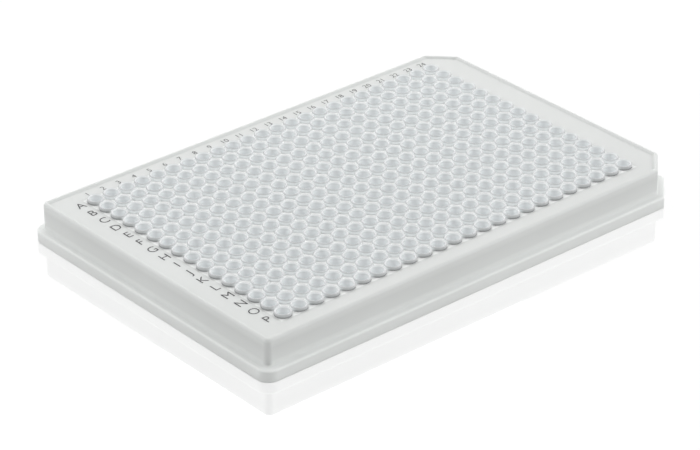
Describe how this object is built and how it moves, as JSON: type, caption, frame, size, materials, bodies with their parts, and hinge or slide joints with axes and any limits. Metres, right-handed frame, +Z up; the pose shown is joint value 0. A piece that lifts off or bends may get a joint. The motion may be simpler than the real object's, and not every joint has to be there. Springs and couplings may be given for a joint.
{
  "type": "well plate",
  "caption": "Skirted rectangular microplate with a stepped foot, two cut corners and a grid of small conical wells with raised rims for thermal cycling.",
  "frame": {"origin": "middle of the footprint, on the surface that the plate stands on", "axes": "+X from column 1 to column 24, +Y from row P to row A, +Z up through the open mouths of the wells"},
  "size_m": [0.1278, 0.0854, 0.0102],
  "materials": {
    "white_frame": "satin white polycarbonate",
    "clear_wells": "natural translucent polypropylene"
  },
  "bodies": {
    "root": {"frame": "white_frame", "wells": "clear_wells"}
  },
  "joints": []
}
